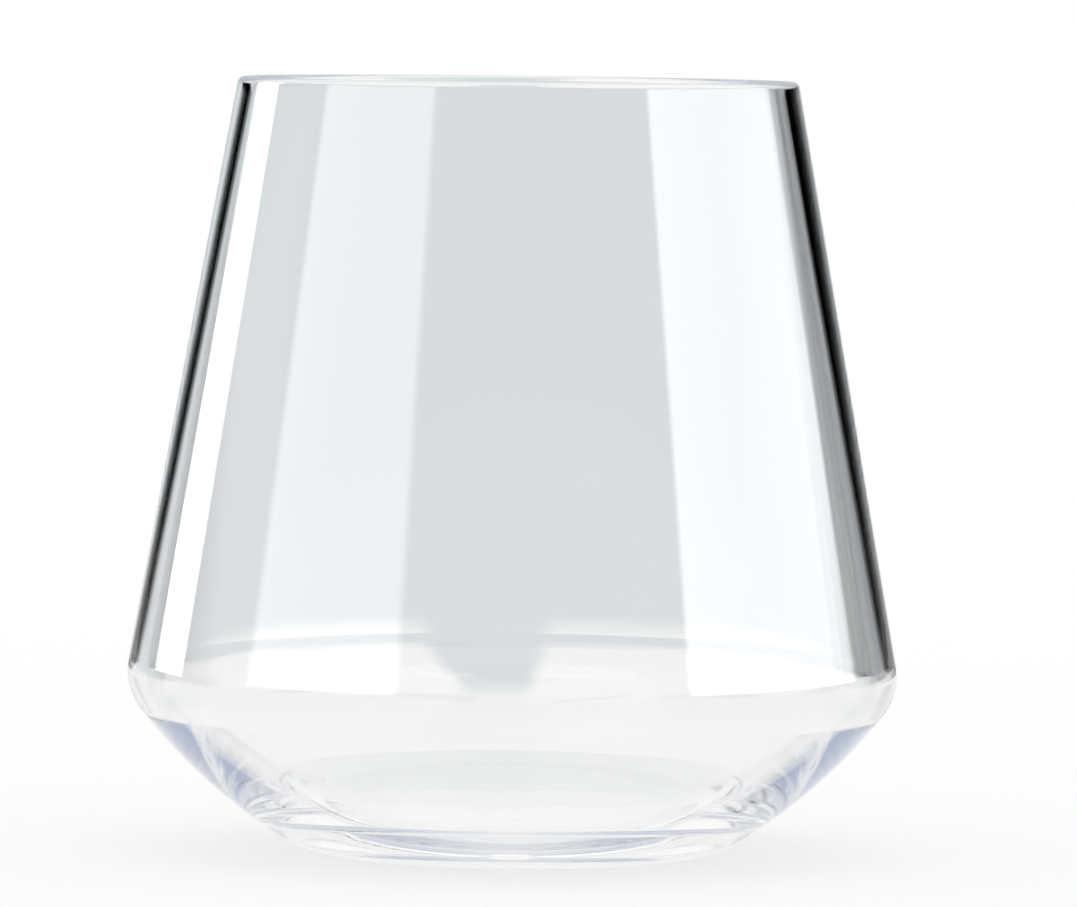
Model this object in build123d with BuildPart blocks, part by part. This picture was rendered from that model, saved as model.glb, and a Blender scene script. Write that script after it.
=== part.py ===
"""A stemless wine glass: one blown piece of clear glass.

Millimetres, +Z up, standing on Z = 0 with the axis of the glass on Z. The whole form is one outline
turned once round that axis, so the sizes below are all that drive it.
"""

import os
from math import acos, atan2, cos, sin, sqrt

from build123d import *

os.makedirs("parts", exist_ok=True)

# The outside, from the mouth down.
height = 100.5
rim_diameter = 72.6
belly_diameter = 100.0
belly_height = 23.4
belly_radius = 8.0
wall_radius = 75.0
heel_radius = 13.5
foot_diameter = 46.0

# The ring it stands on and the hollow inside that ring.
ring_width = 6.0
hollow_depth = 0.5

# The inside. The wall is thin at the mouth and thickens slowly from the belly down to the floor.
rim_wall = 2.0
belly_wall = 2.4
inner_belly_radius = 6.6
inner_wall_radius = 71.8
floor_radius = 4.0
floor_flat_diameter = 59.5
floor_thickness = 6.5

# The fine ring in the middle of the base, left by the valve of the mould.
mark_diameter = 6.4
mark_radius = 0.4

# A fire-polished mouth is melted round, so the rounding takes almost all of the wall.
rim_radius = 0.48 * rim_wall


def touch(point, centre, radius):
    """Where the line from a point above touches the outer side of a circle."""
    away = Vector(*point) - Vector(*centre)
    angle = atan2(away.Y, away.X) - acos(radius / away.length)
    return (centre[0] + radius * cos(angle), centre[1] + radius * sin(angle))


def wrap(low_centre, low_radius, high_centre, high_radius, radius):
    """The two ends of an arc that wraps round two circles from below and touches both."""
    low = Vector(*low_centre)
    high = Vector(*high_centre)
    span = high - low
    low_reach = radius - low_radius
    high_reach = radius - high_radius
    along = (span.length**2 + low_reach**2 - high_reach**2) / (2 * span.length)
    aside = sqrt(low_reach**2 - along**2)
    way = span.normalized()
    centre = low + way * along + Vector(-way.Y, way.X) * aside
    first = centre + (low - centre).normalized() * radius
    last = centre + (high - centre).normalized() * radius
    return (first.X, first.Y), (last.X, last.Y)


# The belly is widest at one height, outside and inside, and the inside turns in the tighter round.
belly_centre = (belly_diameter / 2 - belly_radius, belly_height)
inner_belly_centre = (belly_diameter / 2 - belly_wall - inner_belly_radius, belly_height)

foot_edge = (foot_diameter / 2, 0)
ring_edge = (foot_diameter / 2 - ring_width, 0)
rim_outside = (rim_diameter / 2, height)
rim_inside = (rim_diameter / 2 - rim_wall, height)
floor_edge = (floor_flat_diameter / 2, floor_thickness)

heel_centre = (foot_diameter / 2, heel_radius)
heel_end, belly_low = wrap(heel_centre, heel_radius, belly_centre, belly_radius, wall_radius)
belly_top = touch(rim_outside, belly_centre, belly_radius)

floor_centre = (floor_flat_diameter / 2, floor_thickness + floor_radius)
floor_end, inner_low = wrap(
    floor_centre, floor_radius, inner_belly_centre, inner_belly_radius, inner_wall_radius
)
inner_top = touch(rim_inside, inner_belly_centre, inner_belly_radius)

with BuildPart() as glass_body:
    # Half of the cut-through glass: under the foot, up the outside, over the rim and down the inside.
    with BuildSketch(Plane.XZ) as outline:
        with BuildLine():
            TangentArc((0, hollow_depth), ring_edge, tangent=(1, 0))
            Line(ring_edge, foot_edge)
            heel = TangentArc(foot_edge, heel_end, tangent=(1, 0))
            wall = TangentArc(heel_end, belly_low, tangent=heel % 1)
            belly = TangentArc(belly_low, belly_top, tangent=wall % 1)
            Line(belly_top, rim_outside)
            Line(rim_outside, rim_inside)
            inner_side = Line(rim_inside, inner_top)
            inner_belly = TangentArc(inner_top, inner_low, tangent=inner_side % 1)
            inner_wall = TangentArc(inner_low, floor_end, tangent=inner_belly % 1)
            TangentArc(floor_end, floor_edge, tangent=inner_wall % 1)
            Line(floor_edge, (0, floor_thickness))
            Line((0, floor_thickness), (0, hollow_depth))
        make_face()
        fillet(outline.vertices().group_by(Axis.Y)[-1], radius=rim_radius)
    revolve(axis=Axis.Z)

    # The valve of the mould leaves a fine half-round groove in the roof of the hollow.
    with BuildSketch(Plane.XZ):
        with Locations((mark_diameter / 2, hollow_depth)):
            Circle(mark_radius)
    revolve(axis=Axis.Z, mode=Mode.SUBTRACT)

glass_body.part.label = "glass_body"
export_step(glass_body.part, "parts/glass_body.step")
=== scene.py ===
# %% [markdown]
# # A stemless wine glass
#
# The object is one piece of clear glass, so almost everything the eye sees in it is the room around it.
# That sets the plan of this lesson. First comes the shape, because a clear wall shows every facet. Then a
# glass finish with the small faults of real glass, then a pale table and a studio whose panels and cards
# draw the edges, and last the camera. All sizes are in metres.

import math

import bmesh
import bpy
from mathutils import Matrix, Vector


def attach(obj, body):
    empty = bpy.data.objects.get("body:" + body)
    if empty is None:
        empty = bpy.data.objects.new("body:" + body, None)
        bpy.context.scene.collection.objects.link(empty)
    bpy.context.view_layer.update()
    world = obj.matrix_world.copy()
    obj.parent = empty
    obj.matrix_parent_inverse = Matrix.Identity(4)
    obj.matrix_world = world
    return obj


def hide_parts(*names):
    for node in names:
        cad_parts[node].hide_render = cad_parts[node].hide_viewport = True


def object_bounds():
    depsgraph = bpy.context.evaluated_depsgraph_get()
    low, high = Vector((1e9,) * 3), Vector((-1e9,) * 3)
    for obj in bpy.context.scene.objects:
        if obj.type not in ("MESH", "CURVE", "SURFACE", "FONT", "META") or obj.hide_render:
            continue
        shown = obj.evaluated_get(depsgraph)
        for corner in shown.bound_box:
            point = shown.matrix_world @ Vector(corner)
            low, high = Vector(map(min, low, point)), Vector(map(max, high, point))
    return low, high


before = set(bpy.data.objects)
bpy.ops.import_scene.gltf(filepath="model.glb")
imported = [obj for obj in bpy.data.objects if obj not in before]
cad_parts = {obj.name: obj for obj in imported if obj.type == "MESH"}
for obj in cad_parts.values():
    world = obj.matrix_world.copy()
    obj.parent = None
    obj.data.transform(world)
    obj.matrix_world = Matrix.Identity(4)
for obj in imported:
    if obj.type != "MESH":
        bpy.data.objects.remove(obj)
cad_low, cad_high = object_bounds()
print("frame nodes:", sorted(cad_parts), "box", tuple(cad_low), tuple(cad_high))

# %% [markdown]
# ## The outline
#
# A glass is round, so half of its cut-through section holds the whole form: under the foot, up the
# outside, over the mouth and down the inside. It could be drawn freehand as a curve, but in glass a bend
# that is not smooth shows as a crooked reflection. So the outline is made of discs and lines that touch
# each other, as on a drawing board: each stretch starts in the direction in which the last one ends.

# %% The driving sizes of the outline
height = cad_high.z
belly_reach = cad_high.x
mouth_reach = 0.0363
belly_height = 0.0234
belly_radius = 0.008
wall_radius = 0.075
heel_radius = 0.0135
foot_reach = 0.023
ring_width = 0.006
hollow_depth = 0.0005
mouth_wall = 0.002
belly_wall = 0.0024
inner_belly_radius = 0.0066
inner_wall_radius = 0.0718
floor_radius = 0.004
floor_reach = 0.02975
floor_thickness = 0.0065
mark_reach = 0.0032
mark_radius = 0.0004
lip_radius = 0.48 * mouth_wall
print(f"glass {2000 * belly_reach:.1f} mm wide and {1000 * height:.1f} mm high")

# %% [markdown]
# Six small helpers do the geometry. Three find where things touch: the large disc that holds two smaller
# ones, the point where a straight side meets a disc, and the point of a disc that faces another. Two walk
# along an arc or a line and give points at even steps, and the last rounds a corner. The steps are small,
# about one degree or one millimetre, because smooth shading hides the facets of a painted part but not
# those of a lens.

# %% Helpers for discs that touch
arc_step = math.radians(1.2)
line_step = 0.0012


def wrapping_disc(low, low_radius, high, high_radius, radius):
    """Centre of the large disc that holds a low and a high disc and touches both."""
    span = high - low
    low_gap = radius - low_radius
    high_gap = radius - high_radius
    along = (span.length_squared + low_gap**2 - high_gap**2) / (2 * span.length)
    aside = math.sqrt(low_gap**2 - along**2)
    way = span.normalized()
    return low + way * along + Vector((-way.y, way.x)) * aside


def touching_point(point, centre, radius):
    """Where the straight side that comes down from a point touches a disc."""
    away = point - centre
    angle = math.atan2(away.y, away.x) - math.acos(radius / away.length)
    return centre + radius * Vector((math.cos(angle), math.sin(angle)))


def on_disc(centre, radius, toward):
    """The point of a disc that lies in the direction of another point."""
    return centre + (toward - centre).normalized() * radius


def arc(centre, start, end, turn):
    """Points from start to end round a centre. A turn of 1 goes anticlockwise, -1 clockwise."""
    spoke = start - centre
    first = math.atan2(spoke.y, spoke.x)
    last = math.atan2(end.y - centre.y, end.x - centre.x)
    swing = (turn * (last - first)) % (2 * math.pi)
    count = max(2, math.ceil(swing / arc_step))
    angles = [first + turn * swing * i / count for i in range(count + 1)]
    return [centre + spoke.length * Vector((math.cos(a), math.sin(a))) for a in angles]


def line(start, end):
    """Points from start to end in even steps."""
    count = max(1, math.ceil((end - start).length / line_step))
    return [start.lerp(end, i / count) for i in range(count + 1)]


def rounded(before, corner, after, radius):
    """The arc that rounds a corner, from the side before it to the side after it."""
    back = (before - corner).normalized()
    ahead = (after - corner).normalized()
    half = back.angle(ahead) / 2
    centre = corner + (back + ahead).normalized() * radius / math.sin(half)
    run = radius / math.tan(half)
    return arc(centre, corner + back * run, corner + ahead * run, 1)


# %% Where the discs lie and where they touch
belly_centre = Vector((belly_reach - belly_radius, belly_height))
inner_belly_reach = belly_reach - belly_wall
inner_belly_centre = Vector((inner_belly_reach - inner_belly_radius, belly_height))
heel_centre = Vector((foot_reach, heel_radius))
floor_centre = Vector((floor_reach, floor_thickness + floor_radius))
wall_centre = wrapping_disc(heel_centre, heel_radius, belly_centre, belly_radius, wall_radius)
inner_wall_centre = wrapping_disc(
    floor_centre, floor_radius, inner_belly_centre, inner_belly_radius, inner_wall_radius
)

lip_outside = Vector((mouth_reach, height))
lip_inside = Vector((mouth_reach - mouth_wall, height))
foot_edge = Vector((foot_reach, 0))
ring_edge = Vector((foot_reach - ring_width, 0))
heel_end = on_disc(wall_centre, wall_radius, heel_centre)
belly_low = on_disc(wall_centre, wall_radius, belly_centre)
belly_top = touching_point(lip_outside, belly_centre, belly_radius)
inner_top = touching_point(lip_inside, inner_belly_centre, inner_belly_radius)
inner_low = on_disc(inner_wall_centre, inner_wall_radius, inner_belly_centre)
floor_end = on_disc(inner_wall_centre, inner_wall_radius, floor_centre)
floor_edge = Vector((floor_reach, floor_thickness))
side_lean = math.degrees(math.atan2(belly_top.x - lip_outside.x, height - belly_top.y))
print(f"straight side from {1000 * belly_top.y:.1f} mm up, leaning in {side_lean:.1f} degrees")

# %% [markdown]
# The hollow under the foot is a shallow bowl, so only a ring touches the table. In the roof of that
# hollow, glass pressed or blown in a mould carries a fine round line where the valve of the mould sat. It
# could be painted on, but it is a real groove here, because paint does not bend the light that passes it.

# %% The outline, stretch by stretch
hollow_radius = (ring_edge.x**2 + hollow_depth**2) / (2 * hollow_depth)
hollow_centre = Vector((0, hollow_depth - hollow_radius))
same_point = 1e-6


def hollow_at(reach):
    """The point of the hollow's roof at a distance from the axis."""
    return hollow_centre + Vector((reach, math.sqrt(hollow_radius**2 - reach**2)))


mark_centre = hollow_at(mark_reach)
mark_near = mark_centre - Vector((mark_radius, 0))
mark_far = mark_centre + Vector((mark_radius, 0))
outer_lip = rounded(belly_top, lip_outside, lip_inside, lip_radius)
inner_lip = rounded(lip_outside, lip_inside, inner_top, lip_radius)

stretches = [
    line(Vector((0, hollow_depth)), mark_near),
    arc(mark_centre, mark_near, mark_far, -1),
    [hollow_at(r.x) for r in line(mark_far, ring_edge)],
    line(ring_edge, foot_edge),
    arc(heel_centre, foot_edge, heel_end, 1),
    arc(wall_centre, heel_end, belly_low, 1),
    arc(belly_centre, belly_low, belly_top, 1),
    line(belly_top, outer_lip[0]),
    outer_lip,
    inner_lip,
    line(inner_lip[-1], inner_top),
    arc(inner_belly_centre, inner_top, inner_low, -1),
    arc(inner_wall_centre, inner_low, floor_end, -1),
    arc(floor_centre, floor_end, floor_edge, -1),
    line(floor_edge, Vector((0, floor_thickness))),
]
outline = [stretches[0][0]]
for stretch in stretches:
    outline += [p for p in stretch if (p - outline[-1]).length > same_point]
print(len(outline), "points round the section")

# %% [markdown]
# ## The glass on the lathe
#
# The outline is turned once round the axis by a Screw modifier, which is the lathe of Blender: it copies
# the line round in small steps, joins the copies with faces and welds the two ends on the axis. Spinning
# it step by step in mesh code gives the same faces but takes far longer. Edges sharper than 40 degrees,
# which are only those of the mould line, stay hard.

# %% Turn the outline
turns = 360
hard_edge = math.radians(40)
section = bpy.data.meshes.new("section")
section.from_pydata(
    [(p.x, 0, p.y) for p in outline], [(i, i + 1) for i in range(len(outline) - 1)], []
)
blank = bpy.data.objects.new("blank", section)
bpy.context.scene.collection.objects.link(blank)
lathe = blank.modifiers.new("lathe", "SCREW")
lathe.steps = turns
lathe.render_steps = turns
lathe.use_merge_vertices = True
lathe.merge_threshold = same_point
lathe.use_normal_calculate = True
turned = blank.evaluated_get(bpy.context.evaluated_depsgraph_get())
clear_body = bpy.data.meshes.new_from_object(turned)
bpy.data.objects.remove(blank)
clear_body.set_sharp_from_angle(angle=hard_edge)

check = bmesh.new()
check.from_mesh(clear_body)
gaps = sum(not e.is_manifold for e in check.edges)
volume = check.calc_volume(signed=True)
check.free()
print(len(clear_body.polygons), f"faces, {volume * 1e6:.1f} ml of glass, {gaps} open edges")

# %% The glass as a piece of the object
wine_glass = bpy.data.objects.new("wine_glass", clear_body)
bpy.context.scene.collection.objects.link(wine_glass)
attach(wine_glass, "root")
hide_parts("glass_body")
print(wine_glass.name, "stands for glass_body")

# %% [markdown]
# ## Writing nodes as sums
#
# The finish, the table and the room are all worked out by nodes. Wiring a Math node for each plus and
# times is long to write and hard to read, so a small class stands for one socket and lets Python's own
# operators add the Math nodes. Any other node comes from one method, which sets the node's own settings
# first and then fills or links its sockets.

# %% A socket that can be added and multiplied


class Wire:
    """One output socket of a node tree. Arithmetic on it adds Math nodes."""

    def __init__(self, board, socket):
        self.board = board
        self.socket = socket

    def maths(self, operation, first, second):
        return self.board.add("Math", {"operation": operation}, {0: first, 1: second})

    def __add__(self, other):
        return self.maths("ADD", self, other)

    def __radd__(self, other):
        return self.maths("ADD", other, self)

    def __sub__(self, other):
        return self.maths("SUBTRACT", self, other)

    def __rsub__(self, other):
        return self.maths("SUBTRACT", other, self)

    def __mul__(self, other):
        return self.maths("MULTIPLY", self, other)

    def __rmul__(self, other):
        return self.maths("MULTIPLY", other, self)


class Board:
    """A node tree that starts empty, with one method that adds a node."""

    def __init__(self, tree):
        self.tree = tree
        tree.nodes.clear()

    def add(self, kind, settings=None, sockets=None, out=0):
        """A new node with its settings and sockets filled. Gives one output, or the node if it has none."""
        node = self.tree.nodes.new("ShaderNode" + kind)
        for name, value in (settings or {}).items():
            setattr(node, name, value)
        for name, value in (sockets or {}).items():
            if isinstance(value, Wire):
                self.tree.links.new(value.socket, node.inputs[name])
            else:
                node.inputs[name].default_value = value
        return Wire(self, node.outputs[out]) if node.outputs else node

    def mix(self, factor, first, second):
        """A colour between two others."""
        blend = {"data_type": "RGBA"}
        return self.add("Mix", blend, {"Factor": factor, "A": first, "B": second}, out="Result")

    def ramp(self, value, low, high):
        """0 below low, 1 above high and a soft step between."""
        return self.add(
            "MapRange",
            {"interpolation_type": "SMOOTHSTEP"},
            {"Value": value, "From Min": low, "From Max": high},
        )

    def band(self, value, low, high, soft):
        """1 between low and high, with edges that are soft by a little on both sides."""
        rise = self.ramp(value, low - soft, low + soft)
        fall = self.ramp(value, high - soft, high + soft)
        return rise * (1 - fall)


print("node helpers ready")

# %% [markdown]
# ## Clear glass
#
# Soda-lime glass bends light by 1.5. It is never quite even: the melt leaves cords that tint it a little,
# the blown wall has faint waves that make reflections tremble, and the ring that slides over tables turns
# slightly matt. Noise and the height above the table drive these three. The bending power is the same all
# over, so it is set on the shader itself. So is the light that the glass takes: none that shows in a thin
# wall, but light can run 200 mm inside the heavy base, and Volume Absorption greys that path a little.

# %% The finish of the glass
clear_glass = bpy.data.materials.new("clear_glass")
clear_glass.use_nodes = True
board = Board(clear_glass.node_tree)

place = board.add("TexCoord", out="Object")
level = board.add("SeparateXYZ", {}, {"Vector": place}, out="Z")

cord_tint = (0.985, 0.985, 0.985, 1)
clear_tint = (0.995, 0.995, 0.995, 1)
cords = board.add("TexNoise", {}, {"Vector": place, "Scale": 60.0, "Detail": 2.0})
tint = board.mix(cords, cord_tint, clear_tint)

most_matt = 0.25
scuffs = board.add("TexNoise", {}, {"Vector": place, "Scale": 2500.0, "Detail": 3.0})
worn_ring = 1 - board.ramp(level, 0.00005, 0.0004)
matt = worn_ring * board.ramp(scuffs, 0.45, 0.7) * most_matt

wave_height = 0.00001
waves = board.add("TexNoise", {}, {"Vector": place, "Scale": 40.0, "Detail": 0.0})
blown = board.ramp(level, 0.02, 0.03)
wavy = board.add("Bump", {}, {"Strength": 1.0, "Distance": wave_height, "Height": waves * blown})

glass = board.add(
    "BsdfPrincipled",
    {},
    {
        "Base Color": tint,
        "Roughness": matt,
        "IOR": 1.5,
        "Transmission Weight": 1.0,
        "Normal": wavy,
    },
)
deep_tint = board.add("VolumeAbsorption", {}, {"Color": (0.45, 0.5, 0.55, 1), "Density": 0.7})
board.add("OutputMaterial", {}, {"Surface": glass, "Volume": deep_tint})
clear_body.materials.append(clear_glass)
print("clear glass:", len(clear_glass.node_tree.nodes), "nodes")

# %% [markdown]
# ## What the glass looks at
#
# Glass in an even white room has no edges at all. A studio for glass is therefore built round it: a pale
# grey backdrop to look through, bright panels that reflect as tall bands, and narrow dark cards just
# outside the view, which the edges of the glass bend into sight as dark lines. The camera must still see
# plain white, so each surface asks which kind of ray has met it. Blender counts a bent ray as glossy too,
# so a mirrored ray is one that is glossy and not bent.

# %% Rays that the table and the room tell apart
degrees = 180 / math.pi
white = (1, 1, 1, 1)
backdrop_grey = (0.68, 0.715, 0.735, 1)


def ray_kinds(board):
    """Three wires that are 1 for a ray from the camera, one that glass mirrors and one that it bends."""
    eye = board.add("LightPath", out="Is Camera Ray")
    glossy = board.add("LightPath", out="Is Glossy Ray")
    bent = board.add("LightPath", out="Is Transmission Ray")
    return eye, glossy * (1 - bent), bent


print("kinds of rays ready")

# %% [markdown]
# ## The table
#
# The glass stands on a plain white sheet. A square plane would end in a line across the picture, so the
# sheet is a disc whose outer part fades away into the white behind it. For the camera it is partly a real
# matt surface, which keeps the soft shadow round the foot. Through the glass it is a white strip that
# ends 0.4 m behind, which draws the line across the back of the belly, with a gap in the middle where the
# grey backdrop shows. At the sides it turns as grey as the backdrop, so that the glass stands out from
# the white table from those sides as well.

# %% The sheet under the glass
sheet_reach = 0.6
sheet_drop = 0.00002
sheet_mesh = bpy.data.meshes.new("table_sheet")
disc = bmesh.new()
bmesh.ops.create_circle(disc, cap_ends=True, segments=96, radius=sheet_reach)
disc.to_mesh(sheet_mesh)
disc.free()
table_sheet = bpy.data.objects.new("table_sheet", sheet_mesh)
table_sheet.location.z = -sheet_drop
bpy.context.scene.collection.objects.link(table_sheet)
print(f"table sheet {2 * sheet_reach:.1f} m across")

# %% Where the sheet ends
white_sheet = bpy.data.materials.new("white_sheet")
white_sheet.use_nodes = True
board = Board(white_sheet.node_tree)
eye, mirrored, bent = ray_kinds(board)

spot = board.add("TexCoord", out="Object")
away = board.add("VectorMath", {"operation": "LENGTH"}, {0: spot}, out="Value")
across = board.add("SeparateXYZ", {}, {"Vector": spot}, out="X")
behind = board.add("SeparateXYZ", {}, {"Vector": spot}, out="Y")
swing = board.add("Math", {"operation": "ARCTAN2"}, {0: across, 1: behind}) * degrees

gap = board.band(swing, -2.7, 1.0, 0.5)
end_in_gap = board.ramp(away, 0.155, 0.195)
end_of_strip = board.ramp(away, 0.36, 0.42)
end_for_glass = gap * end_in_gap + (1 - gap) * end_of_strip
fade = eye * board.ramp(away, 0.2, 0.5) + (1 - eye) * end_for_glass
print("end of the sheet:", len(white_sheet.node_tree.nodes), "nodes")

# %% The paper of the sheet
strip_white = (0.91, 0.91, 0.91, 1)
paper_white = (0.93, 0.93, 0.93, 1)
plain_share = 0.72

sides = board.add("Math", {"operation": "ABSOLUTE"}, {0: swing})
far_side = board.ramp(sides, 66, 74) * board.ramp(away, 0.06, 0.1)
for_glass = board.mix(far_side, strip_white, backdrop_grey)
seen_colour = board.mix(eye, for_glass, white)

lit_paper = board.add("BsdfDiffuse", {}, {"Color": paper_white})
seen_paper = board.add("Emission", {}, {"Color": seen_colour, "Strength": 1.0})
plain = plain_share * eye + mirrored + bent
paper = board.add("MixShader", {}, {0: plain, 1: lit_paper, 2: seen_paper})
gone = board.add("BsdfTransparent")
surface = board.add("MixShader", {}, {0: fade, 1: paper, 2: gone})
board.add("OutputMaterial", {}, {"Surface": surface})
sheet_mesh.materials.append(white_sheet)
print("white sheet:", len(white_sheet.node_tree.nodes), "nodes")

# %% [markdown]
# ## The studio
#
# Walls and lamps could be built as meshes, but each would need its own material and place. Here the room
# has no walls: the world gives each direction its brightness. Azimuth is counted from straight behind the
# glass, to the right as plus, and climb is the angle above the horizon, both in degrees. The dark cards
# stand in pairs on four sides, so the edges are drawn from every side, and they lean as they rise, because
# the wall of the glass leans as well.

# %% The room by direction
world = bpy.data.worlds.new("studio")
bpy.context.scene.world = world
world.use_nodes = True
board = Board(world.node_tree)
eye, mirrored, bent = ray_kinds(board)

look = board.add("TexCoord", out="Generated")
axes = {name: board.add("SeparateXYZ", {}, {"Vector": look}, out=name) for name in "XYZ"}
azimuth = board.add("Math", {"operation": "ARCTAN2"}, {0: axes["X"], 1: axes["Y"]}) * degrees
climb = board.add("Math", {"operation": "ARCSINE"}, {0: axes["Z"]}) * degrees
sideways = board.add("Math", {"operation": "ABSOLUTE"}, {0: azimuth})
print("directions:", len(world.node_tree.nodes), "nodes")

# %% The dark cards on four sides
half_side = 45.0
slight_lean = 0.6
strong_lean = 2.0
grey_depth = 0.5

corner = board.add("Math", {"operation": "WRAP"}, {0: azimuth, 1: half_side, 2: -half_side})
right_start = board.ramp(corner - slight_lean * climb, 10.5, 13.5)
right_end = board.ramp(corner - strong_lean * climb, 27, 30)
right_card = right_start * (1 - right_end)
left_card = board.band(corner + strong_lean * climb, -26, -17, 1)
grey_card = grey_depth * board.band(corner, 10.5, 46, 1.5)
dark_cards = board.add("Math", {"operation": "MAXIMUM"}, {0: right_card, 1: left_card})
all_cards = board.add("Math", {"operation": "MAXIMUM"}, {0: dark_cards, 1: grey_card})
cards = board.band(climb, -5, 6.5, 1) * all_cards
print("with cards:", len(world.node_tree.nodes), "nodes")

# %% [markdown]
# Bent rays see a calm room, grey behind the glass and white above and beside it. If they saw the panels
# as well, the heavy base would sparkle all over. A ray that turns more than about 14 corners inside the
# base can come out anywhere, so it sees one soft colour, navy at the sides and pale in front and behind,
# which fills the streaks beside the base evenly. Mirrored rays also see the panels: a wide one at the
# right that brightens away from the middle, a faint one at the left, a narrow bright strip, and two soft
# panels overhead.

# %% The calm room that bent rays see
room_white = (1.04, 1.04, 1.04, 1)
deep_pale = (0.8, 0.815, 0.83, 1)
deep_navy = (0.3, 0.37, 0.54, 1)

above = board.ramp(climb, 4, 11)
beside = board.ramp(climb, -8, -4) * board.band(sideways, 76, 160, 6)
white_room = bent * (above + beside * (1 - above))
calm = board.mix(white_room, backdrop_grey, room_white)

corners_turned = board.add("LightPath", out="Ray Depth")
deep = bent * board.ramp(corners_turned, 14, 22)
flank = board.band(sideways, 50, 130, 25)
deep_colour = board.mix(flank, deep_pale, deep_navy)
calm_colour = board.mix(deep, calm, deep_colour)
print("calm room:", len(world.node_tree.nodes), "nodes")

# %% Panels for mirrored rays
right_glow = 0.055 * azimuth - 0.3
left_glow = 3.8
strip_glow = 7.0
roof_glow = 1.2

right_panel = right_glow * board.band(azimuth, 55, 125, 1.5)
left_panel = left_glow * board.band(azimuth, -145, -94, 2)
left_strip = strip_glow * board.band(azimuth, -63, -45, 1)
panels = board.band(climb, 3, 21, 1) * (right_panel + left_panel + left_strip)
overhead = board.band(azimuth, 50, 150, 5) + board.band(azimuth, -170, -85, 5)
roof = roof_glow * board.band(climb, 24, 78, 3) * overhead
print("with panels:", len(world.node_tree.nodes), "nodes")

# %% Which rays see what
light_level = 1.04
calm_level = 1 - cards * (1 - deep)
panel_level = mirrored * (panels + roof)

plain_white = board.add("Background", {}, {"Color": white, "Strength": 1.0})
even_light = board.add("Background", {}, {"Color": white, "Strength": light_level})
calm_room = board.add("Background", {}, {"Color": calm_colour, "Strength": calm_level})
bright_room = board.add("Background", {}, {"Color": white, "Strength": panel_level})
seen_in_glass = board.add("AddShader", {}, {0: calm_room, 1: bright_room})
for_glass = board.add("MixShader", {}, {0: mirrored + bent, 1: even_light, 2: seen_in_glass})
for_camera = board.add("MixShader", {}, {0: eye, 1: for_glass, 2: plain_white})
board.add("OutputWorld", {}, {"Surface": for_camera})
print("studio:", len(world.node_tree.nodes), "nodes")

# %% [markdown]
# ## The camera
#
# The photograph looks almost level at the mouth and a little down at the foot, which only a camera well
# back and just above the mouth can do. A long lens then fills the frame. The picture leans by a fraction
# of a degree, so the camera is rolled by the same amount.

# %% Place the camera
camera_distance = 1.2
camera_rise = 0.012
camera_height = height + camera_rise * camera_distance
aim = Vector((0.0031, 0, 0.0519))
picture_width = 0.1399
lean = math.radians(0.64)

lens = bpy.data.cameras.new("camera")
lens.sensor_width = 36
camera = bpy.data.objects.new("camera", lens)
bpy.context.scene.collection.objects.link(camera)
camera.location = (0, -camera_distance, camera_height)
sight = aim - camera.location
camera.rotation_euler = sight.to_track_quat("-Z", "Y").to_euler()
camera.rotation_euler.rotate_axis("Z", lean)
lens.lens = lens.sensor_width * sight.length / picture_width
lens.clip_end = 50
bpy.context.scene.camera = camera
print(f"camera {camera_distance:.2f} m away with a {lens.lens:.0f} mm lens")

# %% [markdown]
# ## Colours and light paths
#
# The Standard view shows a colour as it is written. A ray in the heavy base of the glass turns many
# corners before it comes out, and a ray that is stopped on the way comes out black, so the limits on
# bounces are raised.

# %% Settings for the render
most_corners = 128
scene = bpy.context.scene
scene.view_settings.view_transform = "Standard"
scene.cycles.max_bounces = most_corners
scene.cycles.transmission_bounces = most_corners
scene.cycles.glossy_bounces = most_corners
scene.cycles.transparent_max_bounces = 16
print("bounces:", scene.cycles.max_bounces)

# %% [markdown]
# ## The last update
#
# The view layer is updated once more, so that every object stands where it was placed.

# %% Update the view layer
bpy.context.view_layer.update()
